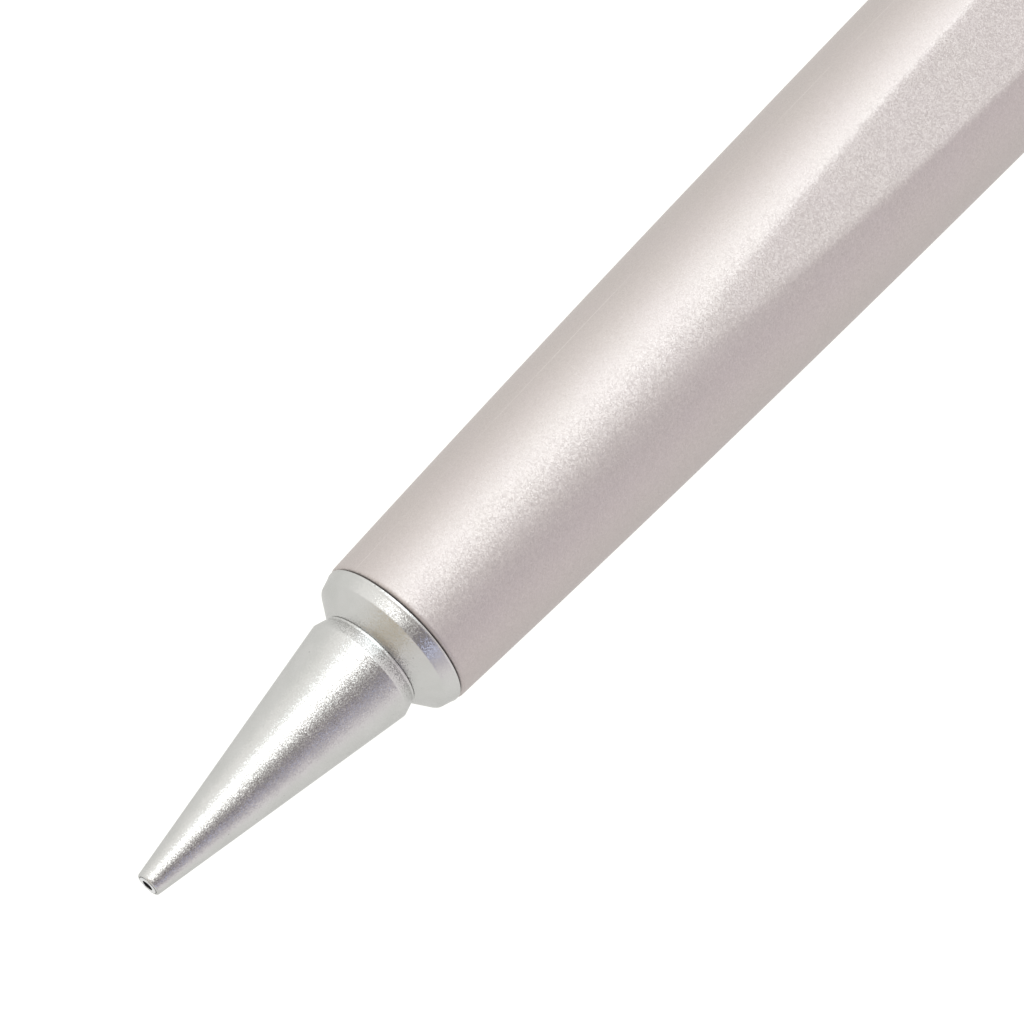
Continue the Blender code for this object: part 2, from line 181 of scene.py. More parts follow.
def bm_object(name, bm, sharp=40.0):
    mesh = bpy.data.meshes.new(name)
    bm.to_mesh(mesh)
    bm.free()
    obj = bpy.data.objects.new(name, mesh)
    bpy.context.scene.collection.objects.link(obj)
    mesh.shade_smooth()
    mesh.set_sharp_from_angle(angle=math.radians(sharp))
    return obj


def cut_planes(obj, planes):
    """Cuts away what lies beyond each (point, normal) plane, closes the cut and keeps its rim sharp."""
    bm = bmesh.new()
    bm.from_mesh(obj.data)
    for plane_point, normal in planes:
        geom = bm.verts[:] + bm.edges[:] + bm.faces[:]
        cut = bmesh.ops.bisect_plane(
            bm, geom=geom, dist=1e-8, plane_co=plane_point, plane_no=normal, clear_outer=True)
        rim = [e for e in cut["geom_cut"] if isinstance(e, bmesh.types.BMEdge) and e.is_boundary]
        bmesh.ops.edgeloop_fill(bm, edges=rim)
        for edge in rim:
            edge.smooth = False
    bmesh.ops.recalc_face_normals(bm, faces=bm.faces[:])
    bm.to_mesh(obj.data)
    bm.free()


FLAT_STEPS = 16                         # points across a flat, closer together near its edges
ROUND_STEPS = 80                        # and from one flat round to the other, likewise
ROUND_EASE = 0.8                        # how much closer together
BLEND = 0.05                            # rounding between a flat and the round side


def flat_angles(radius):
    """Angles of a ring of this radius, with points on the edges of both flats."""
    half = max(math.acos(min(FLAT / radius, 1.0)), math.radians(2.0))
    angles = []
    for middle in (math.pi / 2, 3 * math.pi / 2):
        for i in range(FLAT_STEPS):
            angles.append(middle - half * math.cos(math.pi * i / FLAT_STEPS))
        for i in range(ROUND_STEPS):
            share = i / ROUND_STEPS
            eased = share - ROUND_EASE * math.sin(2 * math.pi * share) / (2 * math.pi)
            angles.append(middle + half + (math.pi - 2 * half) * eased)
    return angles


def flattened(radius, angle, blend):
    """Radius where a round surface meets a flat, with the edge between them rounded over by blend."""
    up = abs(math.sin(angle))
    if radius * up < FLAT - blend:
        return radius
    flat = FLAT / up
    share = min(max(0.5 + 0.5 * (flat - radius) / blend, 0.0), 1.0)
    return flat + (radius - flat) * share - blend * share * (1 - share)


def apply_modifiers(obj):
    """Makes an object's evaluated mesh its own mesh."""
    graph = bpy.context.evaluated_depsgraph_get()
    mesh = bpy.data.meshes.new_from_object(obj.evaluated_get(graph))
    obj.modifiers.clear()
    obj.data = mesh


def finish_piece(obj, slot, body, *nodes):
    """Gives a piece its slot's material and its body, and hides the CAD nodes that it stands for."""
    obj.data.materials.clear()
    obj.data.materials.append(MATS[slot])
    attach(obj, body)
    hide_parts(*nodes)


# Material helpers -------------------------------------------------------------------------------------------


def output_of(node, kind):
    """A node's first output socket of a kind."""
    return [socket for socket in node.outputs if socket.type == kind][0]


class Nodes:
    """Short calls for building one node tree."""

    def __init__(self, tree, coordinate="Object"):
        self.tree = tree
        self.coords = self.add("ShaderNodeTexCoord").outputs[coordinate]

    def add(self, kind, **settings):
        node = self.tree.nodes.new(kind)
        for key, value in settings.items():
            setattr(node, key, value)
        return node

    def feed(self, socket, value):
        """Sets a socket to a number or colour, or links an output to it."""
        if isinstance(value, (int, float)):
            socket.default_value = value
        elif isinstance(value, tuple):
            wanted = len(socket.default_value)
            socket.default_value = (*value, 1.0)[:wanted]
        else:
            self.tree.links.new(value, socket)

    def scaled(self, scale):
        """Coordinates that gain scale for each millimetre; scale may differ by axis."""
        mapping = self.add("ShaderNodeMapping")
        factors = scale if isinstance(scale, tuple) else (scale, scale, scale)
        mapping.inputs["Scale"].default_value = [f / MM for f in factors]
        self.feed(mapping.inputs["Vector"], self.coords)
        return mapping.outputs["Vector"]

    def noise(self, scale, detail=2.0, output="Fac"):
        node = self.add("ShaderNodeTexNoise")
        node.inputs["Scale"].default_value = 1.0
        node.inputs["Detail"].default_value = detail
        self.feed(node.inputs["Vector"], self.scaled(scale))
        return node.outputs[output]

    def cells(self, scale):
        node = self.add("ShaderNodeTexVoronoi", feature="F1")
        node.inputs["Scale"].default_value = 1.0
        self.feed(node.inputs["Vector"], self.scaled(scale))
        return node

    def ramp(self, value, low, high, start, end, smooth=False):
        """Maps start..end of a value to low..high, clamped."""
        node = self.add("ShaderNodeMapRange", clamp=True)
        node.interpolation_type = "SMOOTHSTEP" if smooth else "LINEAR"
        self.feed(node.inputs["Value"], value)
        for name, number in (("From Min", start), ("From Max", end), ("To Min", low), ("To Max", high)):
            node.inputs[name].default_value = number
        return node.outputs["Result"]

    def math(self, operation, *values):
        node = self.add("ShaderNodeMath", operation=operation)
        for socket, value in zip(node.inputs, values):
            self.feed(socket, value)
        return node.outputs["Value"]

    def vector(self, operation, *values):
        node = self.add("ShaderNodeVectorMath", operation=operation)
        for socket, value in zip(node.inputs, values):
            self.feed(socket, value)
        return node.outputs["Value" if operation in ("LENGTH", "DOT_PRODUCT") else "Vector"]

    def mix(self, factor, first, second):
        node = self.add("ShaderNodeMix", data_type="RGBA")
        self.feed(node.inputs["Factor"], factor)
        colours = [socket for socket in node.inputs if socket.type == "RGBA"]
        for socket, value in zip(colours, (first, second)):
            self.feed(socket, value)
        return output_of(node, "RGBA")

    def bump(self, height, strength, distance, under=None):
        node = self.add("ShaderNodeBump")
        node.inputs["Strength"].default_value = strength
        node.inputs["Distance"].default_value = distance * MM
        self.feed(node.inputs["Height"], height)
        if under is not None:
            self.feed(node.inputs["Normal"], under)
        return node.outputs["Normal"]

    def dimples(self, scale, tilt):
        """Normals that lean this way and that over a softly dimpled surface, and a random shade."""
        return self.leaning(self.noise(scale, output="Color"), tilt)

    def flakes(self, scale, tilt):
        """Normals of small flakes, each of which leans its own way, and the flakes' own random shade."""
        return self.leaning(self.cells(scale).outputs["Color"], tilt)

    def leaning(self, random, tilt):
        """The surface's normals leaned by a random colour, and a shade made from that colour."""
        lean = self.vector("SUBTRACT", random, (0.5, 0.5, 0.5))
        lean = self.vector("MULTIPLY", lean, (tilt, tilt, tilt))
        straight = self.add("ShaderNodeNewGeometry").outputs["Normal"]
        leaning = self.vector("NORMALIZE", self.vector("ADD", straight, lean))
        return leaning, self.ramp(random, 0.0, 1.0, 0.0, 1.0)

    def along_line(self, angle, width):
        """A mask, 1 on a straight line along the holder at an angle about its axis."""
        across = (0.0, math.sin(angle), -math.cos(angle))
        outward = (0.0, math.cos(angle), math.sin(angle))
        centred = self.vector("SUBTRACT", self.coords, (0.0, 0.0, AXIS_Z))
        distance = self.math("ABSOLUTE", self.vector("DOT_PRODUCT", centred, across))
        near = self.ramp(distance, 1.0, 0.0, width * 0.25 * MM, width * 0.75 * MM)
        facing = self.math("GREATER_THAN", self.vector("DOT_PRODUCT", centred, outward), 0.0)
        return self.math("MULTIPLY", near, facing)


class Surface(Nodes):
    """A Principled material."""

    def __init__(self, name):
        self.mat = bpy.data.materials.new(name)
        self.mat.use_nodes = True
        super().__init__(self.mat.node_tree)
        self.shader = self.tree.nodes["Principled BSDF"]

    def set(self, **values):
        for key, value in values.items():
            name = key.replace("_", " ").title().replace("Ior", "IOR")
            self.feed(self.shader.inputs[name], value)
        return self.mat


# Materials --------------------------------------------------------------------------------------------------

GRAIN = 17.0                            # dimples or flakes in a millimetre
DRAW_LINE_ANGLE = math.radians(29.5)    # the fine line left along the barrel by its making
DRAW_LINE_WIDTH = 0.05


def satin_metal():
    """Bead-blasted metal: each dimple leans its own way, and a few pits are left, dented and darkened as
    painted shade.
    """
    nodes = Surface("satin_metal")
    leaning, shade = nodes.dimples(GRAIN, 0.70)
    broad = nodes.noise(0.8)
    pit_and_painted_shade = nodes.ramp(nodes.cells(1.15).outputs["Distance"], 1.0, 0.0, 0.030, 0.055)
    tone = nodes.mix(nodes.ramp(broad, 0.0, 1.0, 0.35, 0.65), (0.50, 0.50, 0.49), (0.53, 0.527, 0.52))
    tone = nodes.mix(nodes.math("MULTIPLY", shade, 0.12), tone, (0.42, 0.41, 0.40))
    # painted shade: the pits' colour is darkened towards (0.16, 0.15, 0.15), as if shadowed inside them
    colour = nodes.mix(nodes.math("MULTIPLY", pit_and_painted_shade, 0.45), tone, (0.16, 0.15, 0.15))
    normal = nodes.bump(pit_and_painted_shade, -0.5, 0.02, leaning)
    rough = nodes.ramp(shade, 0.28, 0.34, 0.0, 1.0)
    return nodes.set(
        base_color=colour,
        metallic=1.0,
        roughness=rough,
        specular_tint=(0.8, 0.8, 0.8),
        normal=normal,
    )


def pearl_coat():
    """Champagne pearl lacquer: fine flakes that sparkle under a satin surface, and a hairline along it."""
    nodes = Surface("pearl_coat")
    leaning, shade = nodes.flakes(GRAIN, 0.15)
    broad = nodes.ramp(nodes.noise(0.5), 0.0, 1.0, 0.35, 0.65)
    tint = nodes.mix(shade, (0.471, 0.431, 0.418), (0.523, 0.480, 0.464))
    tint = nodes.mix(nodes.math("MULTIPLY", broad, 0.25), tint, (0.505, 0.455, 0.455))
    line = nodes.along_line(DRAW_LINE_ANGLE, DRAW_LINE_WIDTH)
    worn = nodes.ramp(nodes.noise((0.15, 0.6, 0.6)), 0.10, 0.45, 0.40, 0.60)
    tint = nodes.mix(nodes.math("MULTIPLY", line, worn), tint, (0.66, 0.62, 0.60))
    return nodes.set(
        base_color=tint,
        metallic=0.95,
        roughness=nodes.ramp(shade, 0.61, 0.51, 0.0, 1.0),
        specular_tint=(0.75, 0.75, 0.75),
        coat_weight=0.05,
        coat_roughness=0.3,
        normal=leaning,
    )


def plain_metal(name, low, high, roughness):
    """Turned metal with fine rings round the axis."""
    nodes = Surface(name)
    rings = nodes.noise((12.0, 0.2, 0.2), detail=3.0)
    return nodes.set(
        base_color=nodes.mix(rings, low, high),
        metallic=1.0,
        roughness=nodes.ramp(rings, roughness - 0.05, roughness + 0.08, 0.3, 0.7),
        normal=nodes.bump(rings, 0.15, 0.01),
    )


def soft_solid(name, low, high, roughness, grain):
    """Plastic, vinyl, rubber or graphite with a fine matte grain."""
    nodes = Surface(name)
    value = nodes.noise(grain, detail=3.0)
    return nodes.set(
        base_color=nodes.mix(value, low, high),
        metallic=0.0,
        roughness=nodes.ramp(value, roughness - 0.06, roughness + 0.06, 0.3, 0.7),
        normal=nodes.bump(value, 0.2, 0.02),
    )


MATS = {
    "satin_metal": satin_metal(),
    "pearl_coat": pearl_coat(),
    "steel": plain_metal("steel", (0.50, 0.50, 0.51), (0.64, 0.64, 0.65), 0.24),
    "spring_steel": plain_metal("spring_steel", (0.34, 0.34, 0.35), (0.50, 0.50, 0.51), 0.30),
    "brass": plain_metal("brass", (0.62, 0.44, 0.18), (0.80, 0.60, 0.30), 0.28),
    "black_rubber": soft_solid("black_rubber", (0.02, 0.02, 0.02), (0.05, 0.05, 0.05), 0.65, 6.0),
    "white_plastic": soft_solid("white_plastic", (0.50, 0.50, 0.48), (0.57, 0.57, 0.55), 0.40, 3.0),
    "eraser_vinyl": soft_solid("eraser_vinyl", (0.52, 0.52, 0.50), (0.60, 0.60, 0.58), 0.70, 5.0),
    "graphite": soft_solid("graphite", (0.035, 0.035, 0.04), (0.09, 0.09, 0.10), 0.42, 10.0),
}
# painted shade: a near-black material for the inside of the guide pipe's bore, where shade falls
BORE_PAINTED_SHADE = soft_solid("guide_bore_painted_shade", (0.004, 0.004, 0.004), (0.010, 0.010, 0.010), 0.80, 8.0)


# Nose -------------------------------------------------------------------------------------------------------

TIP_RADIUS = 0.619
TIP_BEVEL = 0.03
CONE_SLOPE = 0.1612                     # radius gained per millimetre
CONE_LIP = 13.95                        # station of the cone's widest point
LIP_LAND = 0.12                         # length of the narrow land behind the lip's bevel
LIP_LAND_RISE = 0.047                   # and its height above the bottom of the groove
GROOVE = 14.73
GROOVE_RADIUS = 2.63
GROOVE_SLOT = 0.03                      # width and depth of the fine slot in the groove
COLLAR_FRONT = 15.59
COLLAR_FRONT_RADIUS = 3.79
COLLAR_LAND = 16.12
COLLAR_BREAK = 0.05                     # depth of the small bevel in front of the land
COLLAR_REAR = 16.34
RELIEF = 0.7                            # length of the plain neck behind the collar
RELIEF_DEPTH = 0.3
SEAT_FRONT = 8.3                        # the seat of the lead retainer
SEAT_REAR = 11.9
SEAT_RADIUS = 1.66
FRONT_ROOM = 1.2                        # radius of the bore in front of that seat
CLUTCH_ROOM = 2.1                       # and behind it
BOSS_RADIUS = 2.97
THREAD_PITCH = 0.75
THREAD_DEPTH = 0.34
THREAD_STEPS = 12                       # stations for each turn of a thread
GUIDE_BORE = 0.27
GUIDE_FIT = 0.02                        # clearance round the guide pipe
SEAM_DEPTH = 0.05                       # of the fine seam round the pipe's end
SEAM_WIDTH = 0.01


def cone_radius(station):
    """Radius of the cone's surface at a station."""
    return TIP_RADIUS + CONE_SLOPE * station


def thread_stations(start, end):
    """Evenly spaced stations, close enough to shape a thread."""
    steps = round((end - start) / THREAD_PITCH * THREAD_STEPS)
    return [start + (end - start) * i / steps for i in range(steps + 1)]


def thread_wave(station, angle):
    """0 at a thread's crest and 1 at its root."""
    phase = (station / THREAD_PITCH - angle / (2 * math.pi)) % 1.0
    return abs(2 * phase - 1)


def make_nose():
    """Cone with a rounded lip, groove and collar, and behind them a threaded boss."""
    front, rear, collar = reach("nose_cone")
    _, pipe_end, pipe = reach("lead_guide_pipe")
    bore = pipe + GUIDE_FIT
    slot_front, slot_bottom = GROOVE - GROOVE_SLOT, GROOVE_RADIUS - GROOVE_SLOT
    neck = BOSS_RADIUS - RELIEF_DEPTH
    runout = 0.2
    outer = [
        (front + SEAM_DEPTH, bore),
        (front + SEAM_DEPTH, bore + SEAM_WIDTH),
        (front, bore + 2 * SEAM_WIDTH),
        (front, TIP_RADIUS - TIP_BEVEL),
        (front + 2 * TIP_BEVEL, cone_radius(front + 2 * TIP_BEVEL)),
        (CONE_LIP, cone_radius(CONE_LIP)),
        (slot_front - LIP_LAND, GROOVE_RADIUS + LIP_LAND_RISE),
        (slot_front, GROOVE_RADIUS + LIP_LAND_RISE),
        (slot_front, slot_bottom),
        (GROOVE, slot_bottom),
        (GROOVE, GROOVE_RADIUS),
        (COLLAR_FRONT, COLLAR_FRONT_RADIUS),
        (COLLAR_LAND, collar - COLLAR_BREAK),
        (COLLAR_LAND + 2 * COLLAR_BREAK, collar),
        (COLLAR_REAR, collar),
        (COLLAR_REAR, neck),
        (COLLAR_REAR + RELIEF, neck),
    ]
    thread = thread_stations(COLLAR_REAR + RELIEF + runout, rear - runout)
    outer += [(station, BOSS_RADIUS) for station in thread]
    outer += [(rear, BOSS_RADIUS - THREAD_DEPTH)]
    inner = [
        (front + SEAM_DEPTH + 2 * SEAM_WIDTH, bore),
        (pipe_end + FIT, bore),
        (pipe_end + FIT, FRONT_ROOM),
        (SEAT_FRONT, FRONT_ROOM),
        (SEAT_FRONT, SEAT_RADIUS),
        (SEAT_REAR, SEAT_RADIUS),
        (SEAT_REAR, CLUTCH_ROOM),
        (rear, CLUTCH_ROOM),
    ]

    def screw_thread(station, radius, angle):
        return radius - THREAD_DEPTH * thread_wave(station, angle) if radius == BOSS_RADIUS else radius

    nose = turned("nose_cone_fine", outer, inner, sides=192, edge=0.035, ripple=screw_thread)
    finish_piece(nose, "satin_metal", "nose", "nose_cone")


def make_pipe():
    """Guide pipe with a rounded mouth; its bore is painted near-black, as painted shade down the hole."""
    front, rear, radius = reach("lead_guide_pipe")
    bevel, mouth = 0.02, 0.06
    outer = [(front, radius - bevel), (front + bevel, radius), (rear, radius)]
    inner = [(front, GUIDE_BORE + bevel), (front + mouth, GUIDE_BORE), (rear, GUIDE_BORE)]
    pipe = turned("lead_guide_pipe_fine", outer, inner, sides=64, edge=0.01)
    finish_piece(pipe, "steel", "nose", "lead_guide_pipe")
    # painted shade: the bore's faces take the near-black material, standing in for the shade down the hole
    pipe.data.materials.append(BORE_PAINTED_SHADE)
    for face in pipe.data.polygons:
        _, y, z = face.center
        if math.hypot(y, z - AXIS_Z) < (GUIDE_BORE + 0.01) * MM:
            face.material_index = 1


def make_retainer():
    """Rubber ring with a funnel at each end of the narrow part that grips the lead."""
    front, rear, radius = reach("lead_retainer")
    grip, front_funnel, rear_funnel = 0.30, 0.45, 0.60
    grip_start, grip_end = front + 0.8, front + 1.5
    inner = [(front, front_funnel), (grip_start, grip), (grip_end, grip), (rear, rear_funnel)]
    ring = turned("lead_retainer_fine", [(front, radius), (rear, radius)], inner, sides=72, edge=0.12)
    finish_piece(ring, "black_rubber", "retainer", "lead_retainer")


# Barrel -----------------------------------------------------------------------------------------------------

BARREL_FRONT_RADIUS = 4.05
BARREL_FULL = 104.5                     # station where the barrel reaches its full radius
BARREL_SWELL = 2.775                    # exponent of the swelling curve
SWELL_START = 0.6                       # from the barrel's front
SWELL_STEPS = 140
BARREL_BORE = 3.1
BUSH_BORE = 3.5                         # wider bore in front, for the front bush
BUSH_BORE_END = 27.3
BACK_BORE = 4.25                        # and behind, for the rear bush
BACK_BORE_START = 115.8
MOUTH_ROUND = 0.2
FLAT_BLEND = 0.08


def make_barrel():
    """Tube that swells towards the rear, until two opposite flats cut into it."""
    front, rear, full = reach("barrel")

    def swollen(station):
        left = max(0.0, (BARREL_FULL - station) / (BARREL_FULL - front))
        return full - (full - BARREL_FRONT_RADIUS) * left**BARREL_SWELL

    mouth = arc((front + MOUTH_ROUND, BARREL_FRONT_RADIUS - MOUTH_ROUND + 0.01), MOUTH_ROUND, 180, 95, 8)
    start = front + SWELL_START
    swell = [start + (BARREL_FULL - start) * i / SWELL_STEPS for i in range(SWELL_STEPS + 1)]
    outer = mouth + [(station, swollen(station)) for station in swell] + [(rear, full)]
    inner = [
        (front, BUSH_BORE),
        (BUSH_BORE_END, BUSH_BORE),
        (BUSH_BORE_END, BARREL_BORE),
        (BACK_BORE_START, BARREL_BORE),
        (BACK_BORE_START, BACK_BORE),
        (rear, BACK_BORE),
    ]

    def outside(station, radius, angle):
        return flattened(radius, angle, FLAT_BLEND) if radius > BACK_BORE + EDGE else radius

    def spread(station):
        return flat_angles(swollen(station))

    barrel = turned("barrel_fine", outer, inner, ripple=outside, spread=spread)
    finish_piece(barrel, "pearl_coat", "holder", "barrel")


def make_front_bush():
    """Threaded inside for the nose, and knurled outside where it is pressed into the barrel."""
    front, rear, full = reach("front_bush")
    bore = BOSS_RADIUS + FIT
    bevel = 0.15
    thread_end, throat = rear - 1.4, 2.6
    knurls, knurl_depth = 60, 0.04
    thread_cut, runout = THREAD_DEPTH * 0.8, 0.1
    outer = [
        (front, full - bevel),
        (front + bevel, full),
        (rear - 2 * bevel, full),
        (rear, full - bevel),
    ]
    thread = [(station, bore) for station in thread_stations(front + runout, thread_end - runout)]
    inner = thread + [(thread_end, bore), (thread_end, throat), (rear, throat)]

    def cut(station, radius, angle):
        if radius == bore:
            return bore + thread_cut * (1 - thread_wave(station, angle))
        if radius == full:
            return full - knurl_depth * abs(2 * (angle * knurls / (2 * math.pi) % 1.0) - 1)
        return radius

    bush = turned("front_bush_fine", outer, inner, sides=240, ripple=cut)
    finish_piece(bush, "brass", "holder", "front_bush")


# Clutch -----------------------------------------------------------------------------------------------------

LEAD_CHANNEL = 0.45                     # radius of the lead's way through the clutch
TUBE_BORE = 1.6                         # and through the magazine


def make_sleeve():
    """Sleeve with a flange that the nose clamps, and a step inside that the spring stands on."""
    front, rear, flange = reach("mechanism_sleeve")
    seat = reach("nose_cone")[1] + FIT
    snout, flange_end, back = 1.95, 25.5, 2.4
    stem_bore, step, spring_bore = 1.2, 18.1, 1.6
    outer = [
        (front, snout),
        (seat, snout),
        (seat, flange),
        (flange_end, flange),
        (flange_end, back),
        (rear, back),
    ]
    inner = [(front, stem_bore), (step, stem_bore), (step, spring_bore), (rear, spring_bore)]
    sleeve = turned("mechanism_sleeve_fine", outer, inner, edge=0.06)
    finish_piece(sleeve, "brass", "holder", "mechanism_sleeve")


def make_ring():
    """Ring with a tapered bore that closes the jaws."""
    front, rear, radius = reach("clutch_ring")
    bevel, mouth, throat = 0.1, 1.28, 1.06
    outer = [(front, radius - bevel), (front + bevel, radius), (rear, radius)]
    ring = turned("clutch_ring_fine", outer, [(front, mouth), (rear, throat)], edge=0.04)
    finish_piece(ring, "brass", "ring", "clutch_ring")


def make_jaws():
    """Three jaws cut from one turned shape, with a tapered head, a slim arm and a fine bore for the lead."""
    front, head_end, root = 12.20, 14.2, 21.0
    face, head, neck = 0.55, 1.25, 1.02
    arm = reach("clutch_stem")[2]
    grip, grip_end = 0.27, 15.0
    gap = 0.10
    outer = [(front, face), (front + 0.15, head), (head_end, neck), (head_end + 0.4, arm), (root, arm)]
    inner = [(front, grip), (grip_end, grip), (grip_end + 0.2, LEAD_CHANNEL), (root, LEAD_CHANNEL)]
    for index in range(3):
        middle = math.pi / 2 + index * 2 * math.pi / 3
        jaw = turned(f"clutch_jaw_{index + 1}_fine", outer, inner, sides=72)
        planes = []
        for side in (1, -1):
            beyond = middle + side * (math.pi / 3 + math.pi / 2)
            normal = Vector((0.0, math.cos(beyond), math.sin(beyond)))
            planes.append((point(0.0) - normal * gap * MM, normal))
        cut_planes(jaw, planes)
        finish_piece(jaw, "brass", f"jaw_{index + 1}", f"clutch_jaw_{index + 1}")


def make_stem():
    """Slim tube that the jaws' arms run into."""
    front, rear, radius = reach("clutch_stem")
    inner = [(front, LEAD_CHANNEL), (rear, LEAD_CHANNEL)]
    stem = turned("clutch_stem_fine", [(front, radius), (rear, radius)], inner, sides=64)
    finish_piece(stem, "brass", "clutch", "clutch_stem")


def make_spring():
    """Coil spring with a closed turn at each end."""
    low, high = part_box("clutch_spring")
    wire = 0.15
    turns = 9
    steps = 36
    radius = (high.z - low.z) / 2 / MM - wire
    front, rear = station_of(low.x) + wire, station_of(high.x) - wire
    closed = wire * 2.2                 # advance of a closed turn
    free = rear - front - 2 * closed
    curve = bpy.data.curves.new("spring_line", "CURVE")
    curve.dimensions = "3D"
    curve.bevel_depth = wire * MM
    curve.bevel_resolution = 4
    curve.use_fill_caps = True
    spline = curve.splines.new("POLY")
    spline.points.add(turns * steps)
    for i, knot in enumerate(spline.points):
        turn = i / steps
        rise = closed * (min(turn, 1.0) + max(0.0, turn - (turns - 1)))
        rise += free * min(max((turn - 1.0) / (turns - 2), 0.0), 1.0)
        knot.co = (*point(front + rise, radius, 2 * math.pi * turn), 1.0)
    line = bpy.data.objects.new("spring_line", curve)
    bpy.context.scene.collection.objects.link(line)
    graph = bpy.context.evaluated_depsgraph_get()
    mesh = bpy.data.meshes.new_from_object(line.evaluated_get(graph))
    bpy.data.objects.remove(line)
    bm = bmesh.new()
    bm.from_mesh(mesh)
    bmesh.ops.remove_doubles(bm, verts=bm.verts[:], dist=1e-7)
    spring = bm_object("clutch_spring_fine", bm, 60.0)
    finish_piece(spring, "spring_steel", "holder", "clutch_spring")
    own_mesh(spring)


def make_connector():
    """Plastic piece with a slim neck on the stem and a socket for the lead tube."""
    front, rear, radius = reach("tube_connector")
    _, stem_rear, stem = reach("clutch_stem")
    tube_front, _, tube = reach("lead_tube")
    neck, shoulder, bevel = 1.4, 34.2, 0.2
    socket = tube_front - 0.1
    outer = [
        (front, neck),
        (shoulder, neck),
        (shoulder, radius - bevel),
        (shoulder + bevel, radius),
        (rear, radius),
    ]
    inner = [
        (front, stem + FIT),
        (stem_rear + 0.2, stem + FIT),
        (socket, TUBE_BORE),
        (socket, tube + FIT),
        (rear, tube + FIT),
    ]
    connector = turned("tube_connector_fine", outer, inner, edge=0.08)
    finish_piece(connector, "white_plastic", "clutch", "tube_connector")


# Magazine, eraser and button --------------------------------------------------------------------------------


def make_lead_tube():
    """Plastic magazine for the spare leads."""
    front, rear, radius = reach("lead_tube")
    inner = [(front, TUBE_BORE), (rear, TUBE_BORE)]
    tube = turned("lead_tube_fine", [(front, radius), (rear, radius)], inner, edge=0.08)
    finish_piece(tube, "white_plastic", "clutch", "lead_tube")


def make_rod(node, slot, body, edge):
    """A thin rod with rounded ends, such as a lead or the cleaning pin."""
    low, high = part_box(node)
    radius = (high.z - low.z) / 2 / MM
    front, rear = station_of(low.x), station_of(high.x)
    profile = [(front, 0.0), (front, radius), (rear, radius), (rear, 0.0)]
    rod = turned(f"{node}_fine", profile, sides=32, edge=edge)
    middle = (low + high) / 2
    rod.data.transform(Matrix.Translation((0.0, middle.y, middle.z - AXIS_Z)))
    finish_piece(rod, slot, body, node)


def make_ferrule():
    """Thin steel cup with two rolled grooves that grip the eraser."""
    front, rear, radius = reach("eraser_ferrule")
    _, tube_rear, tube = reach("lead_tube")
    cup = 2.1
    half, depth = 0.25, 0.08
    outer = [(front, radius - 0.1), (front + 0.15, radius)]
    for groove in (rear - 3.2, rear - 2.2):
        outer += [(groove - half, radius), (groove, radius - depth), (groove + half, radius)]
    outer += [(rear - 0.2, radius), (rear, radius - 0.15)]
    inner = [(front, tube + FIT), (tube_rear + 0.2, tube + FIT), (tube_rear + 0.2, cup), (rear, cup)]
    ferrule = turned("eraser_ferrule_fine", outer, inner, edge=0.08)
    finish_piece(ferrule, "steel", "clutch", "eraser_ferrule")


def make_eraser():
    """Round-ended eraser with a blind hole in front for the cleaning pin."""
    front, rear, radius = reach("eraser")
    hole_end, hole = reach("cleaning_pin")[1] + 0.3, 0.25
    dome = 0.6
    side = [(front, radius)] + arc((rear - dome, radius - dome), dome, 90, 12, 8)
    profile = [(hole_end, 0.0), (hole_end, hole), (front, hole)] + side + [(rear, 0.0)]
    eraser = turned("eraser_fine", profile, edge=0.08)
    finish_piece(eraser, "eraser_vinyl", "eraser", "eraser")


def make_button():
    """Cap with a rounded crown, hollow over the eraser."""
    front, rear, radius = reach("push_button")
    cavity, roof, bevel = 2.62, 138.7, 0.15
    crown, crown_rise, face = 1.0, 0.12, 1.3
    inside = [(roof, 0.0), (roof, cavity), (front, cavity)]
    mouth = [(front, radius - bevel), (front + bevel, radius)]
    dome = arc((rear - crown_rise - crown, radius - crown), crown, 90, 12, 10) + [(rear, face), (rear, 0.0)]
    button = turned("push_button_fine", inside + mouth + dome, sides=192, edge=0.08)
    finish_piece(button, "satin_metal", "button", "push_button")


def make_rear_bush():
    """Bush with a neck that goes through the clip's ring into the barrel, and a flange with flats."""
    front, rear, full = reach("rear_bush")
    neck, bore = 4.2, reach("push_button")[2] + 0.06
    bevel, rim = 0.2, 0.6
    flange = reach("clip_ring")[1] + FIT
    outer = [(front, neck - bevel), (front + bevel, neck), (flange, neck), (flange, full)]
    outer += arc((rear - rim, full - rim), rim, 90, 15, 8) + [(rear, neck)]
    inner = [(front, bore), (rear - bevel, bore), (rear, bore + bevel)]

    def outside(station, radius, angle):
        return flattened(radius, angle, BLEND) if radius > neck else radius

    bush = turned("rear_bush_fine", outer, inner, ripple=outside, spread=lambda station: flat_angles(full))
    finish_piece(bush, "satin_metal", "holder", "rear_bush")


# Clip -------------------------------------------------------------------------------------------------------

CLIP_WIDTH = 3.2
CLIP_THICKNESS = 0.6
CLIP_ROOT_HEIGHT = 6.7                  # underside of the clip at its root, from the axis
CLIP_TOUCH = 93.5                       # station where the clip's end touches the flat
CLIP_BOW = 3.0                          # radius of the bow at that end
CLIP_TAPER = 0.25                       # share of its width that the clip loses towards that end
CLIP_EDGE = 0.14
CLIP_CROWN = 0.05                       # rise of its top in the middle
CLIP_END_THICKNESS = 0.8                # share of the thickness left at both ends, which rounds them
CLIP_END_WIDTH = 0.94                   # and of the width
LUG_SUNK = 0.3                          # depth of the lug below the flat
LUG_BEVEL = 0.06


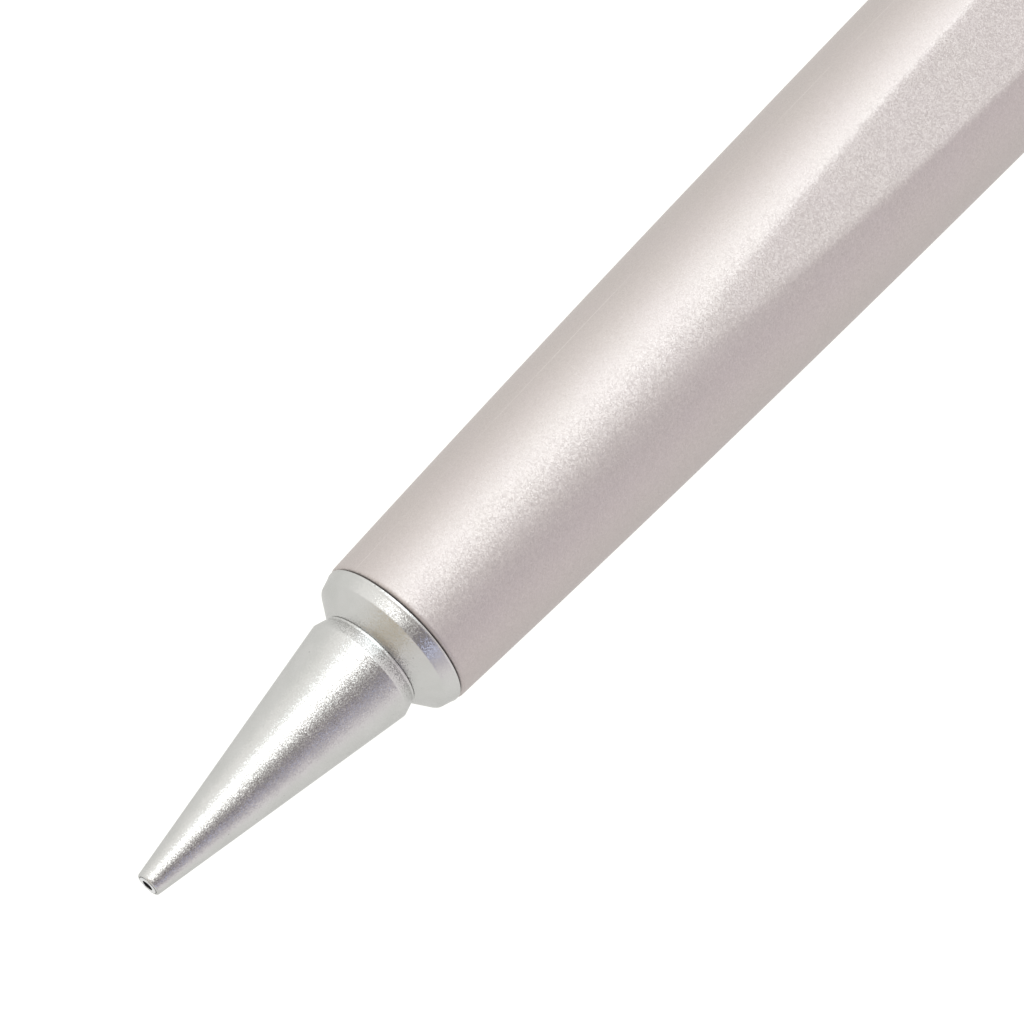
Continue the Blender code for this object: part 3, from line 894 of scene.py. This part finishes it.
def make_clip_ring():
    """Band with flats, joined to the lug that the clip springs from."""
    front, rear, full = reach("clip_ring")

    def outside(station, radius, angle):
        return flattened(radius, angle, BLEND) if radius > BACK_BORE + EDGE else radius

    outer = [(front, full), (rear, full)]
    inner = [(front, BACK_BORE), (rear, BACK_BORE)]
    ring = turned("clip_ring_fine", outer, inner, ripple=outside, spread=lambda station: flat_angles(full))
    low = point(front) + Vector((0.0, -CLIP_WIDTH / 2, FLAT - LUG_SUNK)) * MM
    high = point(rear) + Vector((0.0, CLIP_WIDTH / 2, CLIP_ROOT_HEIGHT - FIT)) * MM
    bm = bmesh.new()
    bmesh.ops.create_cube(bm, size=1.0)
    bmesh.ops.scale(bm, vec=high - low, verts=bm.verts[:])
    bmesh.ops.translate(bm, vec=(low + high) / 2, verts=bm.verts[:])
    bmesh.ops.bevel(bm, geom=bm.edges[:], offset=LUG_BEVEL * MM, segments=3, affect="EDGES", profile=0.5)
    lug = bm_object("clip_lug", bm)
    union = ring.modifiers.new("lug", "BOOLEAN")
    union.operation = "UNION"
    union.solver = "EXACT"
    union.object = lug
    apply_modifiers(ring)
    bpy.data.objects.remove(lug)
    ring.data.set_sharp_from_angle(angle=math.radians(40))
    finish_piece(ring, "satin_metal", "holder", "clip_ring")


def clip_line():
    """Underside of the clip as (station, height above the axis), from the root to the turned-up end."""
    line = [
        (reach("clip_ring")[1], CLIP_ROOT_HEIGHT),
        (112.0, CLIP_ROOT_HEIGHT),
        (CLIP_TOUCH + 9.0, CLIP_ROOT_HEIGHT - 0.15),
        (CLIP_TOUCH + 5.0, CLIP_ROOT_HEIGHT - 0.65),
    ]
    bow = arc((CLIP_TOUCH, FLAT + FIT + CLIP_BOW), CLIP_BOW, -75, -130, 16)
    line = smooth_line(line + bow[:1], 8) + bow[1:]
    return [(station, min(height, CLIP_ROOT_HEIGHT)) for station, height in line]


def smooth_line(points, steps):
    """A Catmull-Rom line through the points."""
    knots = [Vector(p) for p in points]
    knots = [2 * knots[0] - knots[1]] + knots + [2 * knots[-1] - knots[-2]]
    line = []
    for before, start, end, after in zip(knots, knots[1:], knots[2:], knots[3:]):
        for i in range(steps):
            t = i / steps
            p = 0.5 * (2 * start + (end - before) * t + (2 * before - 5 * start + 4 * end - after) * t**2
                       + (3 * start - before - 3 * end + after) * t**3)
            line.append((p.x, p.y))
    line.append(tuple(points[-1]))
    return line


def strip_section(half, corner=4):
    """Outline of the clip across its length: rounded corners and a slightly crowned top."""
    edge = CLIP_EDGE
    thickness = CLIP_THICKNESS - CLIP_CROWN
    outline = []
    for cx, cy, start in ((half - edge, thickness - edge, 0), (edge - half, thickness - edge, 90),
                          (edge - half, edge, 180), (half - edge, edge, 270)):
        for i in range(corner + 1):
            angle = math.radians(start + 90 * i / corner)
            outline.append((cx + edge * math.cos(angle), cy + edge * math.sin(angle)))
        if start == 0:
            top = [half * k / 4 for k in (2, 1, 0, -1, -2)]
            outline += [(x, thickness + CLIP_CROWN * (1 - (x / half) ** 2)) for x in top]
    return outline


def make_clip_arm():
    """Sprung strip, narrower towards its end, whose bowed end rests on the flat."""
    line = clip_line()
    bm = bmesh.new()
    rings = []
    last = len(line) - 1
    for i, (station, height) in enumerate(line):
        before, after = Vector(line[max(i - 1, 0)]), Vector(line[min(i + 1, last)])
        along = (after - before).normalized()
        up = Vector((along.y, -along.x))
        share = (line[0][0] - station) / (line[0][0] - CLIP_TOUCH)
        half = CLIP_WIDTH / 2 * (1.0 - CLIP_TAPER * min(share, 1.0))
        wide, thick = (CLIP_END_WIDTH, CLIP_END_THICKNESS) if i in (0, last) else (1.0, 1.0)
        ring = []
        for across, rise in strip_section(half):
            across *= wide
            rise = CLIP_THICKNESS / 2 + (rise - CLIP_THICKNESS / 2) * thick
            place = Vector((station, height)) + up * rise
            ring.append(bm.verts.new(point(place.x) + Vector((0.0, across, place.y)) * MM))
        rings.append(ring)
    for first, second in zip(rings, rings[1:]):
        join_rings(bm, first, second, len(first))
    bm.faces.new(rings[0])
    bm.faces.new(rings[-1])
    bmesh.ops.recalc_face_normals(bm, faces=bm.faces[:])
    arm = bm_object("clip_arm_fine", bm)
    finish_piece(arm, "satin_metal", "clip", "clip_arm")


# Build ------------------------------------------------------------------------------------------------------

make_nose()
make_pipe()
make_retainer()
make_barrel()
make_front_bush()
make_sleeve()
make_ring()
make_jaws()
make_stem()
make_spring()
make_connector()
make_lead_tube()
make_rod("writing_lead", "graphite", "lead", 0.05)
make_rod("spare_lead_1", "graphite", "clutch", 0.03)
make_rod("spare_lead_2", "graphite", "clutch", 0.03)
make_ferrule()
make_eraser()
make_rod("cleaning_pin", "steel", "eraser", 0.04)
make_button()
make_rear_bush()
make_clip_ring()
make_clip_arm()


# Camera -----------------------------------------------------------------------------------------------------

VIEW_TILT = math.radians(19.0)          # the tip leans towards the camera
VIEW_ROLL = math.radians(5.45)          # the flat leans to the lower right
VIEW_TURN = math.radians(45.375)        # the holder runs from the lower left to the upper right
VIEW_DISTANCE = 300.0
VIEW_STATION = 24.44                    # where the camera looks along the holder
VIEW_OFFSET = 0.133                     # and how far beside its axis
LENS = 232.0


def view_axes():
    """Rotation whose columns are the camera's right, up and back axes in the world."""
    along = Vector((math.cos(VIEW_TURN), math.sin(VIEW_TURN), 0.0))
    across = Vector((math.sin(VIEW_TURN), -math.cos(VIEW_TURN), 0.0))
    back = Vector((0.0, 0.0, 1.0))
    world_x = along * math.cos(VIEW_TILT) - back * math.sin(VIEW_TILT)
    upright = along * math.sin(VIEW_TILT) + back * math.cos(VIEW_TILT)
    world_z = upright * math.cos(VIEW_ROLL) + across * math.sin(VIEW_ROLL)
    world_y = world_z.cross(world_x)
    return Matrix((world_x, world_y, world_z))


def make_camera():
    """Long lens above the front of the holder, with the tip leaning towards it."""
    turn = view_axes()
    across = turn @ Vector((math.sin(VIEW_TURN), -math.cos(VIEW_TURN), 0.0))
    back = turn @ Vector((0.0, 0.0, 1.0))
    target = point(VIEW_STATION) - across * VIEW_OFFSET * MM
    data = bpy.data.cameras.new("camera")
    data.lens = LENS
    data.sensor_width = 36.0
    data.clip_start = 0.01
    camera = bpy.data.objects.new("camera", data)
    camera.matrix_world = Matrix.Translation(target + back * VIEW_DISTANCE * MM) @ turn.to_4x4()
    bpy.context.scene.collection.objects.link(camera)
    bpy.context.scene.camera = camera


# Stage ------------------------------------------------------------------------------------------------------

STUDIO_WARM = (1.40, 1.385, 1.345)      # the soft surround, on the +Y side
STUDIO_COOL = (1.40, 1.345, 1.360)      # and on the -Y side
SHADE_WARM = (0.05, 0.015, 0.0)         # the unlit stretch overhead, on its +Y side
SHADE_COOL = (0.06, 0.0, 0.05)          # and on its -Y side
SHADE_ANGLE = 31.0                      # degrees from overhead towards -Y
SHADE_LEAN = -0.366                     # towards the tip
SHADE_INNER = 0.02                      # where its soft edge starts
SHADE_OUTER = 1.2                       # and ends, as distances on the unit sphere
CARDS = (                               # direction, colour, and where each card's soft edge starts and ends
    ((-0.975, 0.17, 0.10), (0.66, 0.51, 0.27), 0.15, 0.50),
    ((-0.33, -0.67, 0.67), (1.70, 1.90, 2.55), 0.05, 0.26),
)
KEY_ANGLE = 27.2                        # degrees from overhead towards +Y
KEY_LEAN = 0.25                         # towards the rear
KEY_STATION = 35.0                      # where it points on the holder
KEY_DISTANCE = 0.60                     # metres, like the sizes below
KEY_WIDTH = 0.48
KEY_RADIANCE = 2.0
KEY_PARTS = (                           # start and end along it, shift towards +Y, and colour of each panel
    (-0.28, -0.09, 0.100, (1.00, 0.99, 0.97)),
    (-0.09, 0.24, -0.014, (0.84, 1.01, 1.06)),
    (0.24, 0.36, -0.014, (0.88, 0.85, 0.93)),
)
KEY_TWIST = 27.0                        # degrees about its own line of sight
FLOOR_SIZE = 6.0


def direction_mask(nodes, centre, inner, outer):
    """0 near a direction of the world, rising to 1 further off."""
    offset = nodes.vector("SUBTRACT", nodes.coords, centre)
    return nodes.ramp(nodes.vector("LENGTH", offset), 0.0, 1.0, inner, outer, smooth=True)


def make_world():
    """A pale, even studio with an unlit stretch overhead, and a warm and a cool card ahead of the tip."""
    world = bpy.data.worlds.new("studio")
    bpy.context.scene.world = world
    world.use_nodes = True
    nodes = Nodes(world.node_tree, "Generated")
    side = output_of(nodes.add("ShaderNodeSeparateXYZ"), "VALUE").node
    nodes.feed(side.inputs["Vector"], nodes.coords)
    across = side.outputs["Y"]
    cool_side = nodes.ramp(across, 1.0, 0.0, -0.5, 0.3)
    studio = nodes.mix(cool_side, STUDIO_WARM, STUDIO_COOL)
    cool_side = nodes.ramp(across, 1.0, 0.0, -0.60, -0.35)
    shade = nodes.mix(cool_side, SHADE_WARM, SHADE_COOL)
    angle = math.radians(SHADE_ANGLE)
    overhead = (SHADE_LEAN, -math.sin(angle), math.cos(angle))
    away = direction_mask(nodes, overhead, SHADE_INNER, SHADE_OUTER)
    colour = nodes.mix(away, shade, studio)
    for direction, card, inner, outer in CARDS:
        away = direction_mask(nodes, direction, inner, outer)
        colour = nodes.mix(away, card, colour)
    nodes.feed(world.node_tree.nodes["Background"].inputs["Color"], colour)


def make_key():
    """One large soft box above the holder, made of panels end to end."""
    angle = math.radians(KEY_ANGLE)
    side = math.sqrt(1 - KEY_LEAN**2)
    back = Vector((KEY_LEAN, math.sin(angle) * side, math.cos(angle) * side))
    level = (Vector((1, 0, 0)) - back * back.x).normalized()
    along = Matrix.Rotation(math.radians(KEY_TWIST), 3, back) @ level
    turn = Matrix((along, back.cross(along), back)).transposed().to_4x4()
    for index, (start, end, shift, colour) in enumerate(KEY_PARTS):
        data = bpy.data.lights.new(f"key_{index + 1}", "AREA")
        data.shape = "RECTANGLE"
        data.size = end - start
        data.size_y = KEY_WIDTH
        data.energy = KEY_RADIANCE * math.pi * data.size * data.size_y
        data.color = colour
        light = bpy.data.objects.new(f"key_{index + 1}", data)
        centre = point(KEY_STATION) + back * KEY_DISTANCE + along * (start + end) / 2
        centre += back.cross(along) * shift
        light.matrix_world = Matrix.Translation(centre) @ turn
        bpy.context.scene.collection.objects.link(light)


def make_floor():
    """Pale floor that gives off light of its own, so that it stays white round the holder."""
    bpy.ops.mesh.primitive_plane_add(size=FLOOR_SIZE, location=(0.0, 0.0, CAD_LOW.z))
    floor = bpy.context.object
    floor.name = "floor"
    nodes = Surface("floor")
    floor.data.materials.append(nodes.set(
        base_color=(0.10, 0.10, 0.10),
        roughness=0.9,
        specular_ior_level=0.0,
        emission_color=(1.0, 1.0, 0.97),
        emission_strength=1.02,
    ))


make_camera()
make_floor()
make_world()
make_key()
bpy.context.scene.view_settings.view_transform = "Standard"

bpy.context.view_layer.update()
